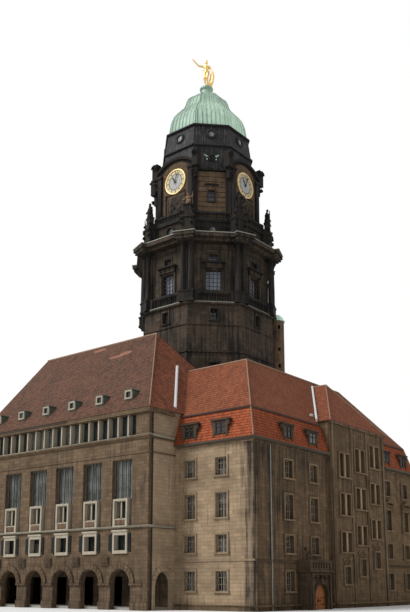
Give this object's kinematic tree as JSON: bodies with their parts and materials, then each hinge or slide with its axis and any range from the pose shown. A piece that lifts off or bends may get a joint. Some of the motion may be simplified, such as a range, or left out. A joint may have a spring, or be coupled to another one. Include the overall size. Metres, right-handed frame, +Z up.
{
  "type": "1:10 scale model town hall",
  "caption": "Town hall scale model with an arcaded front, mansard-roofed side range and octagonal clock tower under a copper dome, with swinging entrance doors and turning clock hands.",
  "frame": {"origin": "on the ground under the axis of the tower", "axes": "+X runs right along the arcade front, +Y runs back from it, +Z is up along the tower"},
  "size_m": [5.183, 5.265, 10.08],
  "materials": {
    "sandstone": "weathered ashlar",
    "dark_sandstone": "sooty ashlar",
    "plaster_floor": "plain floor slabs",
    "brown_tiles": "old clay tiles",
    "red_tiles": "bright clay tiles",
    "copper": "verdigris",
    "slate": "dark streaked slate",
    "cream_frames": "pale painted frames",
    "glass": "window glass",
    "door_wood": "orange-brown varnish",
    "gilding": "gilded",
    "dial_face": "pale clock face",
    "black_iron": "black paint",
    "zinc": "dull sheet zinc"
  },
  "bodies": {
    "building": {"arcade_back_wall": "sandstone", "arcade_dormers": "zinc", "arcade_end_wall": "sandstone", "arcade_floors": "plaster_floor", "arcade_front_wall": "sandstone", "arcade_glass": "glass", "arcade_roof": "brown_tiles", "arcade_side_wall": "sandstone", "arcade_trim": "sandstone", "arcade_windows": "cream_frames", "balcony": "sandstone", "clock_corners": "dark_sandstone", "clock_dials": "dial_face", "clock_rings": "gilding", "clock_sides": "dark_sandstone", "corner_figures": "dark_sandstone", "corner_front_wall": "sandstone", "court_wall": "sandstone", "dome": "copper", "door_pins": "black_iron", "down_pipes": "zinc", "drum": "slate", "gilded_figure": "gilding", "passage_wall": "sandstone", "porch": "sandstone", "side_walls": "sandstone", "stair_bay_roof": "red_tiles", "stair_bay_wall": "sandstone", "stair_turret": "dark_sandstone", "tower_balustrades": "dark_sandstone", "tower_columns": "dark_sandstone", "tower_corners": "dark_sandstone", "tower_cornices": "dark_sandstone", "tower_floors": "plaster_floor", "tower_glass": "glass", "tower_sides": "dark_sandstone", "tower_trim": "dark_sandstone", "tower_windows": "cream_frames", "turret_cap": "copper", "wing_cornices": "sandstone", "wing_dormers": "zinc", "wing_end_wall": "sandstone", "wing_floors": "plaster_floor", "wing_glass": "glass", "wing_roof": "red_tiles", "wing_trim": "sandstone", "wing_windows": "cream_frames"},
    "door_leaf_left": {"door_leaf_left": "door_wood"},
    "door_leaf_right": {"door_leaf_right": "door_wood"},
    "front_hour_hand": {"front_hour_hand": "black_iron"},
    "front_minute_hand": {"front_minute_hand": "black_iron"},
    "side_hour_hand": {"side_hour_hand": "black_iron"},
    "side_minute_hand": {"side_minute_hand": "black_iron"}
  },
  "joints": [
    {"name": "door_left_hinge", "type": "hinge", "parent": "building", "child": "door_leaf_left", "pos_m": [2.869, -1.41, 0.1], "axis": [0, 0, 1], "range_deg": [0, 85]},
    {"name": "door_right_hinge", "type": "hinge", "parent": "building", "child": "door_leaf_right", "pos_m": [2.869, -1.1, 0.1], "axis": [0, 0, 1], "range_deg": [-85, 0]},
    {"name": "front_minute_turn", "type": "hinge", "parent": "building", "child": "front_minute_hand", "pos_m": [0, -0.888, 7.2], "axis": [0, -1, 0], "continuous": true},
    {"name": "front_hour_turn", "type": "hinge", "parent": "building", "child": "front_hour_hand", "pos_m": [0, -0.879, 7.2], "axis": [0, -1, 0], "continuous": true},
    {"name": "side_minute_turn", "type": "hinge", "parent": "building", "child": "side_minute_hand", "pos_m": [0.888, 0, 7.2], "axis": [1, 0, 0], "continuous": true},
    {"name": "side_hour_turn", "type": "hinge", "parent": "building", "child": "side_hour_hand", "pos_m": [0.879, 0, 7.2], "axis": [1, 0, 0], "continuous": true}
  ],
  "couplings": [
    {"joint": "front_hour_turn", "follows": "front_minute_turn", "ratio": 0.083333},
    {"joint": "side_hour_turn", "follows": "side_minute_turn", "ratio": 0.083333}
  ]
}
